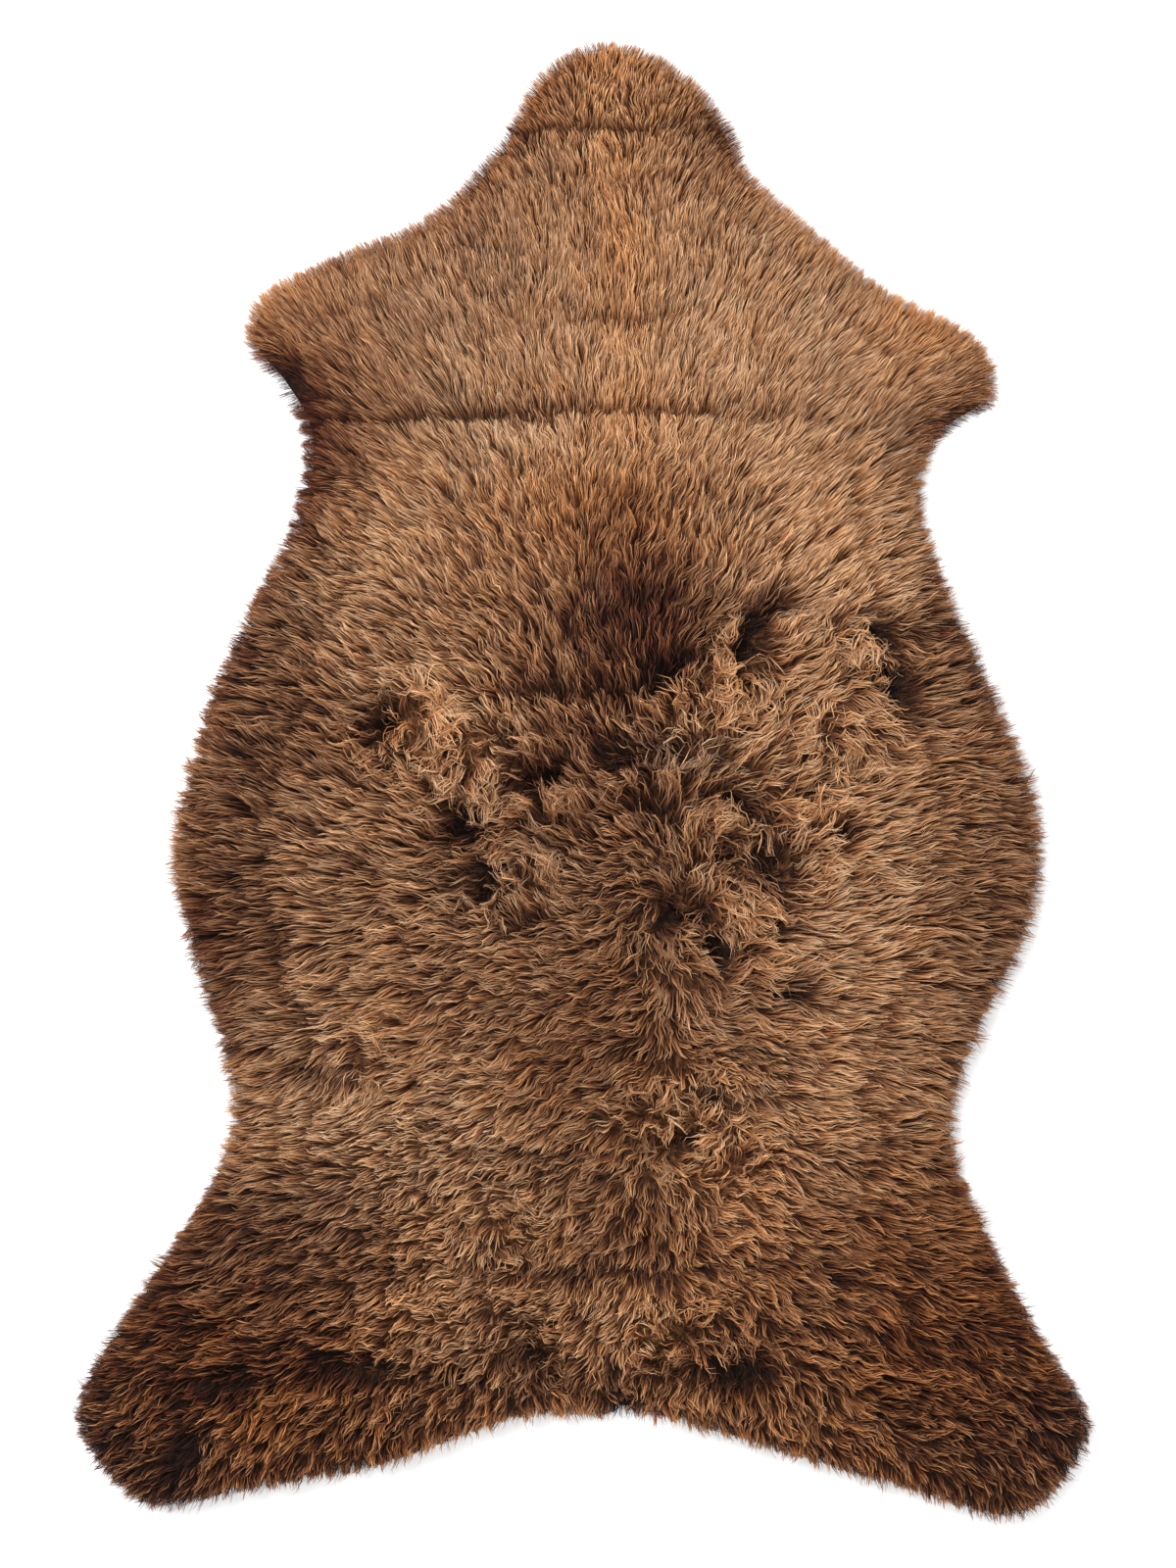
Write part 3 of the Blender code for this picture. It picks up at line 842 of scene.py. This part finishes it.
# How a strand differs from its neighbours. The rows that end in By give the shares of the ridge,
# the lock and the tuft that it belongs to, and the lowest and highest of its own luck.
strand = {
    "reachBy": (0.10, 0.20, 0.10, -0.30, 0.12),
    "heaveBy": (0.65, 0.35, 0.30, -0.15, 0.15),
    # shade shares the ridge, lock and tuft luck of heave, so lower wool is darker: painted shade, on top of
    # a strand's own random tone
    "shadeBy": (0.42, 0.18, 0.12, -0.20, 0.20),
    "warm": 0.18,
    "toLock": 0.6,              # of the way to its lock's middle, where wool gathers fully
    "likeLock": 0.6,            # how far it heads as its lock does
    "climb": 1.3,               # how strongly it leans onto a ridge
    "ownStray": 0.25,
    "wisps": {"rarity": 9.0, "longer": 0.35, "finer": -0.5},
    "bend": {"twist": 0.25, "swirl": 0.7, "own": 0.06, "least": 0.013},
    "girth": (0.7, 1.25),
    "roll": 0.7, "rollOn": 0.9,
    "arch": (-1.82, 2.70),      # it rises, levels out and sinks a little at its tip
    "crimpMost": 1.3,           # curl past which the crimp grows no stronger
}
# The wool is grown region by region. Gap is the least distance between strands.
regionRows = [
    # piece, lowest, highest, strandsPerSquareCm, strandGap, lockGap
    ("neckWool", 300, 520, 72.0, 0.6, 2.3),
    ("shoulderWool", 205, 300, 76.0, 0.6, 2.6),
    ("chestWool", 120, 205, 62.0, 0.6, 3.6),
    ("backWool", 30, 120, 44.0, 0.7, 4.8),
    ("bellyWool", -70, 30, 42.0, 0.7, 5.2),
    ("loinWool", -190, -70, 42.0, 0.7, 5.0),
    ("rumpWool", -330, -190, 40.0, 0.7, 5.0),
    ("haunchWool", -520, -330, 36.0, 0.7, 5.2),
]
# the tree's inputs by kind, named as the settings that feed them
growSockets = {
    "Geometry": ("ground",),
    "Float": ("density", "strandGap", "lockGap", "tuftGap", "tuftPull", "floorGap", "warp",
              "crimpSize", "ridgeWidth", "ridgeLength", "curlyFrom", "ringletFrom"),
    "Int": ("seed",),
    "Object": ("straightStrand", "curlyStrand", "ringlet"),
    "Material": ("material",),
}


def woolTree():
    group = bpy.data.node_groups.new("growWool", "GeometryNodeTree")
    for kind, names in growSockets.items():
        for name in names:
            group.interface.new_socket(name, in_out="INPUT", socket_type="NodeSocket" + kind)
    group.interface.new_socket("wool", in_out="OUTPUT", socket_type="NodeSocketGeometry")
    w = Wiring(group)
    given = w.node("NodeGroupInput").outputs
    here = w.node("GeometryNodeInputPosition").outputs[0]

    def scattered(gap, most, seed, factor=1.0):
        return w.node("GeometryNodeDistributePointsOnFaces", {
            "Mesh": given["ground"], "Distance Min": gap, "Density Max": most, "Density Factor": factor,
            "Seed": seed}, distribute_method="POISSON").outputs

    def nearest(points):
        return w.node("GeometryNodeSampleNearest", {"Geometry": points}, domain="POINT").outputs[0]

    def sampled(points, value, index, kind="FLOAT"):
        return w.node("GeometryNodeSampleIndex", {"Geometry": points, "Index": index, "Value": value},
                      data_type=kind, domain="POINT").outputs[0]

    # broad tufts, and the locks that lean into them
    tufts = scattered(given["tuftGap"], wool["mostTufts"], w.plus(given["seed"], 1.0))["Points"]
    locks = scattered(given["lockGap"], wool["mostLocks"], w.plus(given["seed"], 2.0))["Points"]
    tuftOf = nearest(tufts)
    toTuft = w.vector("SUBTRACT", sampled(tufts, here, tuftOf, "FLOAT_VECTOR"), here)
    locks = w.store(locks, {"tuftLean": w.scaled(toTuft, given["tuftPull"])}, "FLOAT_VECTOR")
    locks = w.store(locks, {
        "tuftLuck": sampled(tufts, w.chance(0.0, 1.0, 5), tuftOf),
        "lockLuck": w.chance(0.0, 1.0, 6),
        "lockTwist": w.chance(-1.0, 1.0, 7)})

    # the strands' roots
    roots = scattered(given["strandGap"], given["density"], given["seed"], w.named("dense"))
    points, upward = roots["Points"], roots["Normal"]
    lockOf = nearest(locks)
    luck, tuftLuck, twist, lockSwirl, lockCurl = (
        sampled(locks, w.named(name), lockOf)
        for name in ("lockLuck", "tuftLuck", "lockTwist", "swirl", "curl"))
    lean, lockLay = (sampled(locks, w.named(name, "FLOAT_VECTOR"), lockOf, "FLOAT_VECTOR")
                     for name in ("tuftLean", "lay"))
    toLock = w.vector("SUBTRACT", sampled(locks, here, lockOf, "FLOAT_VECTOR"), here)
    gatherHere = w.named("gather")
    pull = w.scaled(w.moved(lean, toLock, strand["toLock"]), gatherHere)

    # each strand's own frame: up from the skin, down the lay and across it
    def levelled(way):
        way = w.vector("SUBTRACT", way, w.scaled(upward, w.vector("DOT_PRODUCT", way, upward)))
        way = w.vector("NORMALIZE", way)
        return way, w.vector("CROSS_PRODUCT", upward, way)

    flow, beside = levelled(w.named("lay", "FLOAT_VECTOR"))

    # ridges that run down the lay: noise averaged along it, and how steeply it rises to one side
    width = w.times(given["ridgeWidth"], w.named("ridgeSize"))

    def ridgeAt(shift):
        start = w.moved(here, beside, w.times(width, shift))
        total = 0.0
        for step in range(-3, 4):
            spot = w.moved(start, flow, w.times(given["ridgeLength"], step / 6))
            total = w.plus(total, w.spotty(spot, w.sums("DIVIDE", 1.0, width), 0.0))
        return w.times(w.minus(total, 3.5), 1.2)

    ridge = ridgeAt(0.0)
    slope = w.minus(ridgeAt(0.25), ridgeAt(-0.25))
    climb = w.times(w.times(slope, width), w.times(gatherHere, strand["climb"]))
    pull = w.moved(pull, beside, climb)
    flow, beside = levelled(w.moved(w.scaled(flow, 1 - strand["likeLock"]), lockLay, strand["likeLock"]))
    strayHere, own = w.named("stray"), strand["ownStray"]
    angle = w.plus(w.times(twist, strayHere), w.times(w.chance(-own, own, 12), strayHere))
    flow = w.moved(w.scaled(flow, w.sums("COSINE", angle)), beside, w.sums("SINE", angle))
    points = w.store(points, {"flow": flow, "upward": upward, "pull": pull, "rootPlace": here},
                     "FLOAT_VECTOR")
    clumpy = w.timesPlus(w.named("ridgeSize"), 0.4, 0.4)
    lockOff, tuftOff = w.minus(luck, 0.5), w.minus(tuftLuck, 0.5)

    def varied(row, seed):
        # 1 on average, and off by the ridge, the lock's, the tuft's and the strand's own luck
        ridgeShare, lockShare, tuftShare, low, high = row
        off = w.timesPlus(lockOff, lockShare, w.times(tuftOff, tuftShare))
        off = w.times(w.timesPlus(ridge, ridgeShare, off), clumpy)
        off = w.plus(off, w.chance(low, high, seed))
        return w.timesPlus(off, w.named("vary"), 1.0)

    # a few wisps reach further than the rest, and are finer
    wisp = w.sums("POWER", w.chance(0.0, 1.0, 22), strand["wisps"]["rarity"])
    reach = w.times(w.named("length"), varied(strand["reachBy"], 13))
    turns = strand["bend"]
    bend = w.timesPlus(twist, turns["twist"], w.times(lockSwirl, turns["swirl"]))
    bend = w.times(lockCurl, w.plus(bend, w.chance(-turns["own"], turns["own"], 15)))
    girth = w.times(w.named("thick"), w.chance(*strand["girth"], 16))
    shadeHere = w.minus(varied(strand["shadeBy"], 17), 1.0)
    warmHere = w.timesPlus(twist, strand["warm"], w.chance(-strand["warm"], strand["warm"], 19))
    points = w.store(points, {
        "reach": w.times(reach, w.timesPlus(wisp, strand["wisps"]["longer"], 1.0)),
        "heave": w.times(w.named("rise"), varied(strand["heaveBy"], 14)),
        "bend": w.plus(bend, turns["least"]),
        "girth": w.times(girth, w.timesPlus(wisp, strand["wisps"]["finer"], 1.0)),
        "tone": w.plus(w.named("tone"), shadeHere),
        "strandLuck": w.chance(0.0, 40.0, 18),
        "roll": w.chance(-strand["roll"], strand["roll"], 20),
        "rollOn": w.chance(-strand["rollOn"], strand["rollOn"], 21),
        "warm": w.plus(w.named("warm"), warmHere)})

    def above(value, limit):
        return w.node("FunctionNodeCompare", {"A": value, "B": limit},
                      data_type="FLOAT", operation="GREATER_THAN").outputs[0]

    def logic(operation, *values):
        return w.node("FunctionNodeBooleanMath", dict(enumerate(values)), operation=operation).outputs[0]

    curly, ringlet = (above(w.named("curl"), given[limit]) for limit in ("curlyFrom", "ringletFrom"))
    chosen = {"straightStrand": logic("NOT", curly),
              "curlyStrand": logic("AND", curly, logic("NOT", ringlet)),
              "ringlet": ringlet}
    joined = w.node("GeometryNodeJoinGeometry")
    for name, selection in chosen.items():
        shape = w.node("GeometryNodeObjectInfo", {"Object": given[name]}).outputs["Geometry"]
        placed = w.node("GeometryNodeInstanceOnPoints", {
            "Points": points, "Selection": selection, "Instance": shape}).outputs[0]
        w.group.links.new(placed, joined.inputs[0])
    grown = w.node("GeometryNodeRealizeInstances", {"Geometry": joined.outputs[0]}).outputs[0]

    # bend every point of a strand to its place
    t = w.named("alongStrand")
    flow, upward = w.named("flow", "FLOAT_VECTOR"), w.named("upward", "FLOAT_VECTOR")
    beside = w.vector("CROSS_PRODUCT", upward, flow)
    bend, reach = w.named("bend"), w.named("reach")
    turn = w.times(bend, t)
    ahead = w.times(reach, w.sums("DIVIDE", w.sums("SINE", turn), bend))
    aside = w.sums("DIVIDE", w.minus(1.0, w.sums("COSINE", turn)), bend)
    arch = w.times(w.times(t, w.timesPlus(t, *strand["arch"])), w.named("heave"))
    place = w.moved(w.named("rootPlace", "FLOAT_VECTOR"), flow, ahead)
    place = w.moved(place, beside, w.times(reach, aside))
    place = w.moved(place, upward, arch)
    place = w.moved(place, w.named("pull", "FLOAT_VECTOR"), w.sums("POWER", t, 1.4))
    # the crimp runs through neighbouring strands alike, so it hangs on the place and not the strand
    crimp = w.spotty(place, w.sums("DIVIDE", 1.0, given["crimpSize"]), 1.0, "Color")
    crimp = w.vector("SUBTRACT", crimp, (0.5, 0.5, 0.5))
    grows = w.sums("MINIMUM", w.times(t, 1.6), 1.0)
    strength = w.sums("MINIMUM", w.named("curl"), strand["crimpMost"])
    far = w.times(w.times(given["warp"], 4.0), w.times(strength, grows))
    place = w.moved(place, w.vector("MULTIPLY", crimp, (1.0, 1.0, 0.5)), far)
    split = w.node("ShaderNodeSeparateXYZ", {"Vector": place}).outputs
    height = w.sums("MAXIMUM", split["Z"], given["floorGap"])
    place = w.node("ShaderNodeCombineXYZ", {"X": split["X"], "Y": split["Y"], "Z": height}).outputs[0]
    # a blade is as wide as its girth, across the way it heads and rolled about it
    side = w.vector("SUBTRACT", w.scaled(beside, w.sums("COSINE", turn)),
                    w.scaled(flow, w.sums("SINE", turn)))
    roll = w.timesPlus(w.named("rollOn"), t, w.named("roll"))
    side = w.moved(w.scaled(side, w.sums("COSINE", roll)), upward, w.sums("SINE", roll))
    place = w.moved(place, side, w.times(w.named("besideStrand"), w.named("girth")))
    grown = w.node("GeometryNodeSetPosition", {"Geometry": grown, "Position": place}).outputs[0]
    fibre = w.node("ShaderNodeCombineXYZ", {
        "X": w.named("besideStrand"), "Y": w.named("strandLuck"), "Z": w.times(t, 1.2)}).outputs[0]
    grown = w.store(grown, {"fibre": fibre}, "FLOAT_VECTOR")
    grown = w.store(grown, {"alongStrand": w.sums("POWER", t, w.named("rootShade"))})
    grown = w.node("GeometryNodeSetShadeSmooth", {"Geometry": grown}).outputs[0]
    grown = w.node("GeometryNodeSetMaterial", {"Geometry": grown, "Material": given["material"]}).outputs[0]
    w.node("NodeGroupOutput", {"wool": grown})
    return group


def regionGround(low, high):
    seamSize, seamReach = wool["seam"]
    middles = groundPlaces[triangles].mean(axis=1)
    wander = np.array([noise.noise(Vector((x / seamSize, y / seamSize, 5.0))) for x, y, _ in middles])
    level = middles[:, 1] + wander * seamReach
    faces = triangles[(level >= low * mm) & (level < high * mm)]
    used = np.unique(faces)
    renumber = np.full(len(spots), -1)
    renumber[used] = np.arange(len(used))
    data = bpy.data.meshes.new("ground")
    data.from_pydata(groundPlaces[used].tolist(), [], renumber[faces].tolist())
    for name, values in dict(
            length=length, rise=rise, curl=curl, stray=stray, gather=gather, tone=tone, warm=warm,
            rootShade=rootShade, vary=vary, thick=thick, dense=dense, swirl=swirl,
            ridgeSize=ridgeSize).items():
        made = data.attributes.new(name, "FLOAT", "POINT")
        made.data.foreach_set("value", values[used].astype(np.float32))
    flatLay = np.column_stack([lay, np.zeros(len(lay))])[used].astype(np.float32)
    data.attributes.new("lay", "FLOAT_VECTOR", "POINT").data.foreach_set("vector", flatLay.ravel())
    return inScene("ground", data)


brownWool = woolMaterial()
growWool = woolTree()
identifiers = {item.name: item.identifier for item in growWool.interface.items_tree
               if item.in_out == "INPUT" and item.socket_type != "NodeSocketGeometry"}
# how far along a strand its joints are, and how wide it is there
shapes = {
    "straightStrand": strandShape(((0.05, 0.8), (0.45, 1.0), (0.78, 0.75))),
    "curlyStrand": strandShape(((0.05, 0.8), (0.38, 1.0), (0.62, 0.95), (0.82, 0.65))),
    "ringlet": strandShape(((0.05, 0.8), (0.24, 0.9), (0.40, 1.0), (0.56, 1.0), (0.71, 0.9),
                            (0.86, 0.6))),
}
woolPieces = []
for number, (name, low, high, density, gap, lockGap) in enumerate(regionRows):
    ground = regionGround(low, high)
    modifier = ground.modifiers.new("growWool", "NODES")
    modifier.node_group = growWool
    values = {**wool, **shapes, "density": density * 1e4 * wool["rimDensity"], "strandGap": gap * mm,
              "lockGap": lockGap * mm, "seed": wool["seed"] + 10 * number, "material": brownWool}
    for key, identifier in identifiers.items():
        modifier[identifier] = values[key]
    graph = bpy.context.evaluated_depsgraph_get()
    data = bpy.data.meshes.new_from_object(ground.evaluated_get(graph), preserve_all_data_layers=True,
                                           depsgraph=graph)
    data.name = name
    for spare in [a.name for a in data.attributes if a.domain == "POINT"
                  and a.name not in ("position", "alongStrand", "tone", "warm", "fibre")]:
        data.attributes.remove(data.attributes[spare])
    piece = inScene(name, data)
    old = ground.data
    bpy.data.objects.remove(ground)
    bpy.data.meshes.remove(old)
    woolPieces.append(piece)
    print(name, len(data.polygons), "faces")
for shape in shapes.values():
    bpy.data.objects.remove(shape)
print("wool grown:", sum(len(p.data.polygons) for p in woolPieces), "faces")


# the pieces and the frame
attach(skin, "root")
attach(underWool, "root")
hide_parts("lambskin")
for piece in woolPieces:
    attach(piece, "root")
x, y = skinEdge.T

# floor, light and camera
studio = {
    "photoCentre": (3.4 * mm, 3.2 * mm),
    "frameHeight": 1.0583,      # what the photograph's long side spans at the wool
    "lens": 85.0,
    "sensorWidth": 36.0,
    "woolLevel": 6 * mm,
    "world": 1.25,
    "keyPlace": (-1.2, 1.4, 2.2),
    "keySize": (1.2, 1.2),
    "keyPower": 75.0,
    "floorReach": 6.0,
    "floorColour": (0.92, 0.92, 0.92, 1.0),
    "floorRoughness": 0.9,
}
floorMesh = bpy.data.meshes.new("floor")
reach = studio["floorReach"]
floorMesh.from_pydata([(-reach, -reach, 0), (reach, -reach, 0), (reach, reach, 0), (-reach, reach, 0)], [],
                      [(0, 1, 2, 3)])
floor = inScene("floor", floorMesh)
floorMesh.materials.append(material("palePaper", {
    "Base Color": studio["floorColour"], "Roughness": studio["floorRoughness"]})[0])

world = bpy.data.worlds.new("studio")
world.use_nodes = True
sky = world.node_tree.nodes["Background"].inputs
sky["Color"].default_value = (1.0, 1.0, 1.0, 1.0)
sky["Strength"].default_value = studio["world"]
bpy.context.scene.world = world
lamp = bpy.data.lights.new("keyLight", "AREA")
lamp.shape = "RECTANGLE"
lamp.size, lamp.size_y = studio["keySize"]
lamp.energy = studio["keyPower"]
softbox = inScene("keyLight", lamp)
softbox.location = studio["keyPlace"]
softbox.rotation_euler = (-softbox.location).to_track_quat("-Z", "Y").to_euler()
camera = bpy.data.cameras.new("camera")
camera.lens = studio["lens"]
camera.sensor_width = studio["sensorWidth"]
eye = inScene("camera", camera)
distance = studio["frameHeight"] * studio["lens"] / camera.sensor_width
eye.location = (*studio["photoCentre"], studio["woolLevel"] + distance)
bpy.context.scene.camera = eye
bpy.context.scene.view_settings.view_transform = "Standard"
